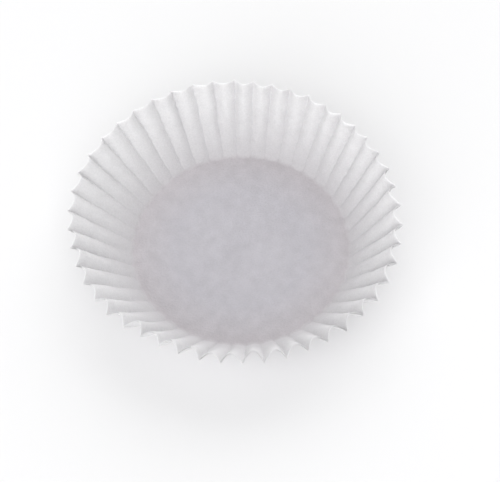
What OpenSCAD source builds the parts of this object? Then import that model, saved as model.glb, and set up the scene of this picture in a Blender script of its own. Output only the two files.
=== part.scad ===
// Stack of fluted glassine candy cups, nested one inside the next.
// Each cup is one round of thin paper, pressed into a flat floor and a pleated wall.
// A flute is folded to a sharp crease on the outside and swells to a round back on
// the inside. Flutes start almost flat at the floor and are deepest at the rim. The
// paper has given a little in use: the wall leans out more on one side than on the other.

/* [Cup] */
// Width of the floor, out to the corner where its line meets the wall's
floor_d = 47.4; // [30:0.2:52]
// Width of the rim over the outward creases, where the wall leans as it was pressed
rim_d = 70; // [66:0.5:90]
// Height of the rim at the outward creases, where the wall leans as it was pressed
wall_h = 14; // [6:0.5:18]
// Radius of the bend between the floor and the wall
bend_r = 1.5; // [0.5:0.1:3]
// Thickness of the paper
paper_t = 0.06; // [0.04:0.01:0.2]

/* [Flutes] */
// Number of flutes round the wall
flutes = 48; // [24:1:60]
// Depth of a flute at the rim, from its crease to its round back
flute_depth = 1.7; // [0.4:0.1:2.2]
// How far the round backs reach in over the floor's edge
scallop = 0.4; // [0:0.1:1]

/* [Give] */
// Degrees that the wall stands steeper on one side, and flatter on the other
side_lean = 5.5; // [0:0.5:7]
// Direction of that steeper side, in degrees
side_dir = 7; // [0:1:359]
// Degrees that the wall stands steeper at both ends of a diameter, and flatter across it
oval_lean = 4; // [0:0.5:6]
// Direction of that diameter, in degrees
oval_dir = 57; // [0:1:179]

/* [Stack] */
// Air between one cup's paper and the next, straight up where the wall is steepest
nest_gap = 0.12; // [0.1:0.02:1]

/* [Hidden] */

// Columns of points in one flute, the first of them on the crease
flute_cols = 6;
cols = flutes * flute_cols;

floor_r = floor_d / 2;
wall_run = rim_d / 2 - floor_r;

// The creases climb from the floor at this slope, for this length of paper
crease_slope = atan2(wall_h, wall_run);
wall_len = norm([wall_run, wall_h]);

// The round backs stand steeper by this angle, which opens the flutes towards the rim
back_turn = 2 * asin(flute_depth / (2 * wall_len));
mean_slope = crease_slope + back_turn / 2;
steepest = crease_slope + back_turn + side_lean + oval_lean;

// From the paper's under face to its upper face, on the floor and on the wall
floor_lift = [0, paper_t];
wall_lift = paper_t * [-sin(mean_slope), cos(mean_slope)];

// Each cup stands this much higher than the one that holds it
nest_step = paper_t / cos(steepest) + nest_gap;

// Direction of a column round the cup
function direction(column) = 360 * column / cols;

// From 0 on a crease to 1 on a round back, as half a wave from crease to crease
function backness(column) = sin(180 * (column % flute_cols) / flute_cols);

// How the paper's give changes the wall's slope in one direction
function lean(direction) =
    side_lean * cos(direction - side_dir) + oval_lean * cos(2 * (direction - oval_dir));

// Slope of the wall along one column
function slope(column) =
    crease_slope + lean(direction(column)) + back_turn * backness(column);

// Corner under one column, where the lines of the floor and the wall meet
function corner(column) = [floor_r + scallop * (1 / 2 - backness(column)), 0];

// Under face along one column, as radius and height: the floor's end, the wall's start
// past the bend, and the rim
function under_face(column) =
    let (slope = slope(column), corner = corner(column))
    let (bend = bend_r * tan(slope / 2), along = [cos(slope), sin(slope)])
    [corner - [bend, 0], corner + bend * along, corner + wall_len * along];

// Upper face, offset from the under face by the paper's thickness
function upper_face(column) = under_face(column) + [floor_lift, wall_lift, wall_lift];

// Whole section, out along the upper face and back along the under face
function section(column) =
    let (under = under_face(column))
    concat(upper_face(column), [for (k = [len(under) - 1:-1:0]) under[k]]);

// Turns a point of a section to its column's direction
function placed(point, column) =
    let (angle = direction(column))
    [point.x * cos(angle), point.x * sin(angle), point.y];

// Two triangles that fill the quad between neighbouring rings and columns. Its corners
// are not in one plane, so both faces of the paper are split along the same diagonal,
// and the two halves of a flute along mirrored ones.
function quad(ring, column, rings) =
    let (next = (column + 1) % cols)
    let (a = ring * cols + column, b = a + cols)
    let (d = ring * cols + next, c = d + cols)
    let (is_upper = ring < rings / 2, is_first_half = column % flute_cols < flute_cols / 2)
    is_upper == is_first_half ? [[a, c, b], [a, d, c]] : [[a, d, b], [d, c, b]];

// One cup as a closed sheet, standing on z = 0
module paper_cup() {
    sections = [for (column = [0:cols - 1]) section(column)];
    rings = len(sections[0]);
    upper_centre = rings * cols;
    under_centre = upper_centre + 1;
    last_ring = (rings - 1) * cols;

    points = [
        for (ring = [0:rings - 1], column = [0:cols - 1])
            placed(sections[column][ring], column),
        [0, 0, paper_t],
        [0, 0, 0]
    ];

    skin = [
        for (ring = [0:rings - 2], column = [0:cols - 1])
            each quad(ring, column, rings)
    ];

    floors = [
        for (column = [0:cols - 1])
            let (next = (column + 1) % cols)
            each [
                [upper_centre, next, column],
                [under_centre, last_ring + column, last_ring + next]
            ]
    ];

    polyhedron(points, concat(skin, floors), convexity = 6);
}

module bottom_cup() {
    color("whitesmoke") paper_cup();
}

module middle_cup() {
    color("whitesmoke") translate([0, 0, nest_step]) paper_cup();
}

module top_cup() {
    color("white") translate([0, 0, 2 * nest_step]) paper_cup();
}

bottom_cup();
middle_cup();
top_cup();
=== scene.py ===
import math

import bpy
import numpy as np
from mathutils import Matrix, Vector


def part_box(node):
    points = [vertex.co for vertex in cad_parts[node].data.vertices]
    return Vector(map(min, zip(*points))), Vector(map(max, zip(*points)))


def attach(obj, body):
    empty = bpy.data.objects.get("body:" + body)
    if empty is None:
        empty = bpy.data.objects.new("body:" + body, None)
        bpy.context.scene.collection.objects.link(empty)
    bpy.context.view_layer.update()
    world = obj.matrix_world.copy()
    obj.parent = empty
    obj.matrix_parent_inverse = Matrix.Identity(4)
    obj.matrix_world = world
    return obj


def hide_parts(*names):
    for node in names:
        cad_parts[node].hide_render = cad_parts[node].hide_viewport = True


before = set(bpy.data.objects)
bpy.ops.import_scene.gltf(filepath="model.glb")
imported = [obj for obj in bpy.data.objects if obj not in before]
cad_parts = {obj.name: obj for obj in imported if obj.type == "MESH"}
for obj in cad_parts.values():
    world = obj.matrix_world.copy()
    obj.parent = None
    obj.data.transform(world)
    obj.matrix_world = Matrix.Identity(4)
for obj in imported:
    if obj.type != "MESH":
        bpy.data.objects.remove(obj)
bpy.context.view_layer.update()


# Where the nested cups stand, from the frame
bottomLow = np.array(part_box("bottom_cup")[0])
topLow = np.array(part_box("top_cup")[0])
nestStep = (topLow[2] - bottomLow[2]) / 2
print("frame: each cup stands", round(nestStep * 1000, 3), "mm above the one that holds it")


# One cup, in metres and degrees
cup = {
    "flutes": 48,
    "paper": 0.00006,            # thickness
    "floorWidth": 0.0474,        # out to the corner under the wall
    "rimWidth": 0.070,           # over the creases, as the cup was pressed
    "wallHeight": 0.014,         # at the creases, as the cup was pressed
    "bendRadius": 0.0015,        # between floor and wall
    "fluteDepth": 0.0017,        # at the rim, from a crease to a round back
    "scallop": 0.0003,           # how far the backs reach in over the floor's edge
    "leans": [(1, 5.5, 7.0), (2, 4.0, 57.0)],  # times round, degrees steeper, in which direction
    "foldSoftness": 0.045,       # share of a flute's depth that the fold's radius takes
    "backFlatness": 0.78,        # 1 for a back like half a sine, less for a flatter one
    "lateDepth": 0.35,           # 0 for flutes that deepen evenly, more to stay shallow by the floor
    "floorRise": 0.00010,        # how far the floor's waves stand up
    # In radians: how far each wave turns from mid floor to its edge, across and along, and where it starts
    "floorWaves": [(2.1, 1.3, 0.4), (-1.7, 3.1, 1.9), (4.3, 2.2, 2.6)],
}
floorRadius = cup["floorWidth"] / 2
wallRun = cup["rimWidth"] / 2 - floorRadius
creaseSlope = math.atan2(cup["wallHeight"], wallRun)
wallLength = math.hypot(wallRun, cup["wallHeight"])
backTurn = 2 * math.asin(cup["fluteDepth"] / (2 * wallLength))


# What makes every flute a little different. The random values are one standard deviation
uneven = {
    "seed": 12,
    "creasePlace": 0.025,        # share of a flute
    "creaseSlope": 0.35,         # degrees
    "depth": 0.10,               # share of the depth
    "skew": 0.12,                # share of a flute
    # A crease's bends and crinkles: half waves along it, and the share of a flute they go sideways
    "bows": [(1, 0.014), (2, 0.010), (3, 0.008), (4, 0.008), (5, 0.006), (6, 0.006), (7, 0.005)],
    "crinkles": [(13, 0.006), (16, 0.006), (18, 0.006), (20, 0.006), (22, 0.005), (25, 0.004)],
    "rimWave": (3, 9, 0.5),      # fewest and most times round, degrees of slope
    "cutEdge": (2, 40, 0.00006),  # fewest and most times round, metres of length
    "cutSeed": 40,               # the bottom cup's, with the next two for the others
    "deeper": [(1, 0.13, 295.0), (2, 0.03, 80.0)],  # times round, share of the depth, in which direction
    "turned": [(1, 0.67, 87.0), (2, 0.80, 14.0)],  # times round, degrees at the rim, in which direction
}


# How finely a cup is drawn
grid = {
    "columns": 16,               # in one flute; times the flutes, they have to halve six times
    "crowding": 0.76,            # how much they gather at the creases
    "wallRings": 40,
    "bendRings": 5,
    # Floor rings, as shares of the way out, and which of them have half the points of the one outside
    "floorShares": [0.985, 0.965, 0.94, 0.905, 0.86, 0.80, 0.73, 0.65, 0.56, 0.46, 0.35, 0.24, 0.12],
    "halvings": [1, 3, 5, 8, 11, 12],
    "sharpFrom": 60.0,           # degrees between faces
}


def placesInFlute():
    # Even steps, pulled towards both ends by a sine so that the folds get most columns
    even = np.arange(grid["columns"]) / grid["columns"]
    return even - grid["crowding"] * np.sin(2 * np.pi * even) / (2 * np.pi)


def backness(place, skew):
    # Half a sine from 0 on a crease to 1 on a round back, leaned to one side by the skew. The
    # softness squared is added to its square to round the foot, and a power below a half
    # of the sum flattens the back
    leaned = place + skew * place * (1 - place)
    power = cup["backFlatness"] / 2
    foot = cup["foldSoftness"] ** 2
    rounded = (np.sin(np.pi * leaned) ** 2 + foot) ** power - foot ** power
    return rounded / ((1 + foot) ** power - foot ** power)


def wavesRound(angle, waves):
    # Sum of cosines, each with its times round, its height and the direction of its crest in degrees
    return sum(height * np.cos(times * (angle - math.radians(crest))) for times, height, crest in waves)


def randomWave(angle, random, fewest, most, height):
    # Sum of cosines that go round from the fewest to the most times, with random heights and crests
    times = np.arange(fewest, most + 1)[:, None]
    crests = random.uniform(0, 2 * np.pi, times.shape)
    heights = random.normal(0, height / math.sqrt(len(times)), times.shape)
    return (heights * np.cos(times * (angle[None, :] - crests))).sum(0)


def fluteColumns():
    # Direction, slope and sideways wander of every column, and how much steeper its back turns it.
    # What belongs to a crease is blended evenly across the flute to the next crease
    random = np.random.default_rng(uneven["seed"])
    flutes = cup["flutes"]
    pitch = 2 * np.pi / flutes
    place = placesInFlute()[None, :]
    creaseShift, creaseTilt, depth, skew = (
        random.normal(0, uneven[key], flutes) for key in ("creasePlace", "creaseSlope", "depth", "skew"))
    bows = [(times, pitch * random.normal(0, bow, flutes)) for times, bow in uneven["bows"]]

    def across(values):
        return (values[:, None] * (1 - place) + np.roll(values, -1)[:, None] * place).ravel()

    angle = (pitch * (np.arange(flutes)[:, None] + place)).ravel()
    back = (backness(place, skew[:, None]) * (1 + depth[:, None])).ravel()
    back = back * (1 + wavesRound(angle, uneven["deeper"]))
    slope = np.degrees(creaseSlope) + wavesRound(angle, cup["leans"]) + across(creaseTilt)
    slope += randomWave(angle, random, *uneven["rimWave"])
    bows += [(times, pitch * random.normal(0, bow, flutes)) for times, bow in uneven["crinkles"]]
    shift = pitch * across(creaseShift) + np.radians(wavesRound(angle, uneven["turned"]))
    return {"angle": angle, "back": back, "slope": np.radians(slope), "turn": backTurn * back,
            "shift": shift, "bows": [(times, across(bow)) for times, bow in bows]}


def wallSection(columns, cutSeed):
    # Radius, height and path length of the paper's under face, rings by columns: an arc of the
    # bend's radius up to the column's slope, then a line out to the cut edge. The line's slope
    # grows by the back's turn times a power of the share of the way up
    slope = columns["slope"][None, :]
    turn = columns["turn"][None, :]
    corner = floorRadius + cup["scallop"] * (0.5 - columns["back"][None, :])
    bend = cup["bendRadius"] * np.tan(slope / 2)
    slope = slope + turn * (bend / wallLength) ** cup["lateDepth"]
    bend = cup["bendRadius"] * np.tan(slope / 2)
    arc = np.linspace(0, 1, grid["bendRings"] + 1)[:-1, None] * slope
    arcRadius = corner - bend + cup["bendRadius"] * np.sin(arc)
    arcHeight = cup["bendRadius"] * (1 - np.cos(arc))
    random = np.random.default_rng(cutSeed)
    length = wallLength + randomWave(columns["angle"], random, *uneven["cutEdge"])[None, :]
    run = bend + np.linspace(0, 1, grid["wallRings"] + 1)[:, None] * (length - bend)
    lineSlope = columns["slope"][None, :] + turn * (run / length) ** cup["lateDepth"]
    radius = np.concatenate([arcRadius, corner + run * np.cos(lineSlope)])
    height = np.concatenate([arcHeight, run * np.sin(lineSlope)])
    path = np.concatenate([cup["bendRadius"] * arc, run + cup["bendRadius"] * slope - bend])
    return radius, height, path


def floorWave(x, y):
    # Long waves between 0 and 1 that fade out at the floor's edge
    u = x / floorRadius
    v = y / floorRadius
    waves = cup["floorWaves"]
    height = sum(np.sin(across * u + along * v + start) for across, along, start in waves)
    return (0.5 + height / (2 * len(waves))) * np.clip(1 - (u * u + v * v) ** 2, 0, 1)


def cupRings(columns, cutSeed):
    # Every ring of the under face from the rim in, as one array of points for each, with the
    # way to the upper face and the point's place on the unrolled sheet
    radius, height, path = wallSection(columns, cutSeed)
    share = path / path[-1:]
    angle = columns["angle"] + columns["shift"] * share
    for times, bow in columns["bows"]:
        angle = angle + bow * np.sin(times * np.pi * share)
    meanSlope = creaseSlope + backTurn / 2
    rings = []
    for number in range(len(radius) - 1, -1, -1):
        tilt = meanSlope * min(number / grid["bendRings"], 1)
        rings.append((radius[number], angle[number], height[number], tilt, path[number]))
    step = 1
    for number, part in enumerate(grid["floorShares"]):
        step *= 2 if number in grid["halvings"] else 1
        edge = radius[0, ::step]
        rings.append((edge * part, columns["angle"][::step], np.zeros_like(edge), 0.0, edge * (part - 1)))
    return rings


def ringFaces(counts, first, pole):
    # Faces between neighbouring rings from the rim in: quads where both have as many points,
    # five-sided faces where the inner has half, and a fan of triangles round the pole
    faces = []
    for outer, inner in zip(counts, counts[1:]):
        here = np.arange(inner)
        after = (here + 1) % inner
        below = first + outer
        if outer == inner:
            corners = [first + here, first + after, below + after, below + here]
        else:
            pair = first + 2 * here
            corners = [pair, pair + 1, first + 2 * after, below + after, below + here]
        faces += np.stack(corners, 1).tolist()
        first = below
    here = np.arange(counts[-1])
    faces += np.stack([first + here, first + (here + 1) % counts[-1], np.full_like(here, pole)], 1).tolist()
    return faces


def paperCup(name, lift, cutSeed):
    # A closed sheet: the under face's rings, the same rings moved by the paper's thickness for the
    # upper face, and a strip of quads between the two along the cut edge
    columns = fluteColumns()
    under, upper, sheet = [], [], []
    for radius, angle, height, tilt, path in cupRings(columns, cutSeed):
        across, along = np.cos(angle), np.sin(angle)
        z = height + cup["floorRise"] * floorWave(radius * across, radius * along)
        inward = radius - cup["paper"] * math.sin(tilt)
        under.append(np.stack([radius * across, radius * along, z], 1))
        upper.append(np.stack([inward * across, inward * along, z + cup["paper"] * math.cos(tilt)], 1))
        sheet.append(np.stack([floorRadius * across, floorRadius * along, path], 1))
    counts = [len(ring) for ring in under]
    poleRise = cup["floorRise"] * floorWave(0.0, 0.0)
    under = np.concatenate(under + [[[0, 0, poleRise]]])
    upper = np.concatenate(upper + [[[0, 0, poleRise + cup["paper"]]]])
    sheet = np.concatenate(sheet + [[[0, 0, -floorRadius]]])
    size = len(under)
    here = np.arange(counts[0])
    after = (here + 1) % counts[0]
    upperFaces = ringFaces(counts, 0, size - 1)
    underFaces = [face[::-1] for face in ringFaces(counts, size, 2 * size - 1)]
    edgeFaces = np.stack([here, here + size, after + size, after], 1).tolist()

    data = bpy.data.meshes.new(name)
    data.from_pydata(np.concatenate([upper, under]) + [0, 0, lift], [], upperFaces + underFaces + edgeFaces)
    place = data.attributes.new("sheetPlace", "FLOAT_VECTOR", "POINT")
    place.data.foreach_set("vector", np.concatenate([sheet, sheet]).astype(np.float32).ravel())
    data.polygons.foreach_set("use_smooth", np.ones(len(data.polygons), bool))
    data.update()
    data.set_sharp_from_angle(angle=math.radians(grid["sharpFrom"]))
    piece = bpy.data.objects.new(name, data)
    bpy.context.scene.collection.objects.link(piece)
    return piece


look = {
    # Metres up the wall from the floor's edge, or in over the floor where below zero, and the colour
    # painted there: painted shade that makes the floor darker and slightly lilac, and painted light that
    # brightens the wall up towards the rim
    "paintedShadeAndLightTones": [
        (-0.0085, (0.555, 0.539, 0.581)),
        (0.0002, (0.583, 0.550, 0.576)),
        (0.0013, (0.665, 0.648, 0.668)),
        (0.0150, (0.905, 0.897, 0.91)),
    ],
    "noiseSpan": (0.3, 0.7),     # part of a noise's range that goes from faintest to full tone
    "cloudSize": 0.0024,         # metres
    "cloudDetail": 7,
    "floorCloud": 0.10,          # share of tone that the cloudy formation takes away on the floor
    "wallCloud": 0.04,           # the same on the wall
    "fibreSize": 0.00035,        # metres
    "fibreDetail": 2,
    "fibreStrength": 0.075,      # share of tone that the fibres take away
    "wrinkleAcross": 0.0011,     # metres round the wall
    "wrinkleAlong": 0.0006,      # metres up the wall
    "wrinkleDetail": 3,
    "bump": 0.00009,             # height of fibres and wrinkles in metres
    "roughness": 0.55,
    "ior": 1.45,
    "through": 0.5,              # share of the light that goes on inside the paper
    "throughReach": 0.0003,      # metres
}


def addNode(material, kind, inputs=(), **settings):
    # One node with its settings, its inputs given as a value or as another node's output
    node = material.node_tree.nodes.new(kind)
    for key, value in settings.items():
        setattr(node, key, value)
    for key, value in dict(inputs).items():
        if isinstance(value, bpy.types.NodeSocket):
            material.node_tree.links.new(value, node.inputs[key])
        else:
            node.inputs[key].default_value = value
    return node


def noiseTone(material, vector, size, detail, faintest):
    # Noise with features of the given size, mapped to a factor between the faintest and one
    noise = addNode(material, "ShaderNodeTexNoise", {"Vector": vector, "Scale": 1 / size, "Detail": detail})
    return addNode(material, "ShaderNodeMapRange", {
        "Value": noise.outputs["Fac"], "From Min": look["noiseSpan"][0], "From Max": look["noiseSpan"][1],
        "To Min": faintest, "To Max": 1.0,
    }).outputs["Result"]


def makePaper():
    material = bpy.data.materials.new("glassinePaper")
    material.use_nodes = True
    links = material.node_tree.links
    shader = material.node_tree.nodes["Principled BSDF"]
    shader.inputs["Roughness"].default_value = look["roughness"]
    shader.inputs["IOR"].default_value = look["ior"]
    shader.inputs["Subsurface Weight"].default_value = look["through"]
    shader.inputs["Subsurface Radius"].default_value = (1, 1, 1)
    shader.inputs["Subsurface Scale"].default_value = look["throughReach"]
    spot = addNode(material, "ShaderNodeTexCoord").outputs["Object"]
    sheet = addNode(material, "ShaderNodeAttribute", attribute_name="sheetPlace").outputs["Vector"]
    path = addNode(material, "ShaderNodeSeparateXYZ", {"Vector": sheet}).outputs["Z"]
    # Painted shade and painted light: this ramp darkens the floor and brightens the wall up towards the rim
    paintedShadeAndLightTones = look["paintedShadeAndLightTones"]
    low, floorEnd, wallStart, high = (way for way, colour in paintedShadeAndLightTones)
    upWall = addNode(material, "ShaderNodeMapRange", {"Value": path, "From Min": low, "From Max": high})
    paintedShadeAndLightRamp = addNode(material, "ShaderNodeValToRGB", {"Fac": upWall.outputs["Result"]})
    for _ in paintedShadeAndLightTones[2:]:
        paintedShadeAndLightRamp.color_ramp.elements.new(0.5)
    for stop, (way, colour) in zip(paintedShadeAndLightRamp.color_ramp.elements, paintedShadeAndLightTones):
        stop.position = (way - low) / (high - low)
        stop.color = (*colour, 1)
    faintest = addNode(material, "ShaderNodeMapRange", {
        "Value": path, "From Min": floorEnd, "From Max": wallStart,
        "To Min": 1 - look["floorCloud"], "To Max": 1 - look["wallCloud"]}).outputs["Result"]
    cloud = noiseTone(material, spot, look["cloudSize"], look["cloudDetail"], faintest)
    faintest = 1 - look["fibreStrength"]
    fibre = noiseTone(material, spot, look["fibreSize"], look["fibreDetail"], faintest)
    grain = addNode(material, "ShaderNodeMath", {0: cloud, 1: fibre}, operation="MULTIPLY").outputs["Value"]
    colour = addNode(material, "ShaderNodeVectorMath", {
        0: paintedShadeAndLightRamp.outputs["Color"], 1: grain}, operation="MULTIPLY").outputs["Vector"]
    links.new(colour, shader.inputs["Base Color"])
    across, along = 1 / look["wrinkleAcross"], 1 / look["wrinkleAlong"]
    stretched = addNode(material, "ShaderNodeMapping", {"Vector": sheet, "Scale": (across, across, along)})
    wrinkle = addNode(material, "ShaderNodeTexNoise", {
        "Vector": stretched.outputs["Vector"], "Scale": 1.0, "Detail": look["wrinkleDetail"]})
    fine = addNode(material, "ShaderNodeTexNoise", {
        "Vector": spot, "Scale": 1 / look["fibreSize"], "Detail": look["wrinkleDetail"]})
    height = addNode(material, "ShaderNodeMath", {
        0: wrinkle.outputs["Fac"], 1: fine.outputs["Fac"]}, operation="ADD")
    bump = addNode(material, "ShaderNodeBump", {
        "Height": height.outputs["Value"], "Distance": look["bump"]})
    links.new(bump.outputs["Normal"], shader.inputs["Normal"])
    return material


paper = makePaper()
for number, node in enumerate(["bottom_cup", "middle_cup", "top_cup"]):
    name = node.replace("_cup", "GlassineCup")
    piece = paperCup(name, bottomLow[2] + number * nestStep, uneven["cutSeed"] + number)
    piece.data.materials.append(paper)
    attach(piece, "root")
    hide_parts(node)
    print("made", piece.name, len(piece.data.polygons), "faces")


stage = {
    "side": 3.0,
    "drop": 0.00003,             # how far it lies under the bottom cup
    "colour": (0.83, 0.83, 0.835, 1),
    "roughness": 0.8,
}


def makeStage():
    half, level = stage["side"] / 2, -stage["drop"]
    corners = [(-half, -half, level), (half, -half, level), (half, half, level), (-half, half, level)]
    data = bpy.data.meshes.new("stageFloor")
    data.from_pydata(corners, [], [(0, 1, 2, 3)])
    ground = bpy.data.objects.new("stageFloor", data)
    bpy.context.scene.collection.objects.link(ground)
    material = bpy.data.materials.new("paleFloor")
    material.use_nodes = True
    shader = material.node_tree.nodes["Principled BSDF"]
    shader.inputs["Base Color"].default_value = stage["colour"]
    shader.inputs["Roughness"].default_value = stage["roughness"]
    data.materials.append(material)


lamps = {
    "world": 0.62,               # strength of the white light from all round
    "softboxes": [  # name, direction in degrees, elevation in degrees, distance, size, watts
        ("frontSoftbox", -108.0, 36.0, 1.3, 1.7, 14.6),
        ("backSoftbox", 74.0, 36.0, 1.3, 1.7, 11.0),
    ],
}


def aimedAt(place, target):
    return (Vector(target) - Vector(place)).to_track_quat("-Z", "Y").to_matrix().to_4x4()


def makeLamps():
    bpy.context.scene.view_settings.view_transform = "Standard"
    world = bpy.data.worlds.new("studio")
    world.use_nodes = True
    sky = world.node_tree.nodes["Background"]
    sky.inputs["Color"].default_value = (1, 1, 1, 1)
    sky.inputs["Strength"].default_value = lamps["world"]
    bpy.context.scene.world = world
    for name, direction, elevation, distance, size, watts in lamps["softboxes"]:
        lamp = bpy.data.lights.new(name, "AREA")
        lamp.energy = watts
        lamp.size = size
        a, e = math.radians(direction), math.radians(elevation)
        level = distance * math.cos(e)
        place = (level * math.cos(a), level * math.sin(a), distance * math.sin(e))
        box = bpy.data.objects.new(name, lamp)
        box.matrix_world = Matrix.Translation(place) @ aimedAt(place, (0, 0, 0))
        bpy.context.scene.collection.objects.link(box)


view = {
    "turn": -0.1,                # degrees round the cup from looking along +Y
    "elevation": 60.1,           # degrees
    "roll": -2.7,                # degrees
    "distance": 0.4353,          # from the middle of the top cup's floor
    "aside": -0.00185,           # that middle from the middle of the picture
    "above": -0.00162,
    "focalPixels": 2000,
    "pictureWidth": 500,         # pixels
    "sensor": 36.0,              # millimetres
    "clip": (0.01, 10.0),        # nearest and farthest
}


def makeCamera():
    data = bpy.data.cameras.new("camera")
    data.sensor_width = view["sensor"]
    data.lens = view["focalPixels"] / view["pictureWidth"] * view["sensor"]
    data.clip_start, data.clip_end = view["clip"]
    turn, elevation, roll = (math.radians(view[key]) for key in ("turn", "elevation", "roll"))
    out = math.cos(elevation)
    back = Vector((math.sin(turn) * out, -math.cos(turn) * out, math.sin(elevation)))
    level = Vector((math.cos(turn), math.sin(turn), 0))
    upright = back.cross(level)
    right = math.cos(roll) * level + math.sin(roll) * upright
    up = math.cos(roll) * upright - math.sin(roll) * level
    target = Vector((0, 0, topLow[2])) - view["aside"] * right - view["above"] * up
    place = target + view["distance"] * back
    camera = bpy.data.objects.new("camera", data)
    axes = Matrix((right, up, back)).transposed().to_4x4()
    camera.matrix_world = Matrix.Translation(place) @ axes
    bpy.context.scene.collection.objects.link(camera)
    bpy.context.scene.camera = camera


makeStage()
makeLamps()
makeCamera()
print("made the stage, the lamps and the camera")
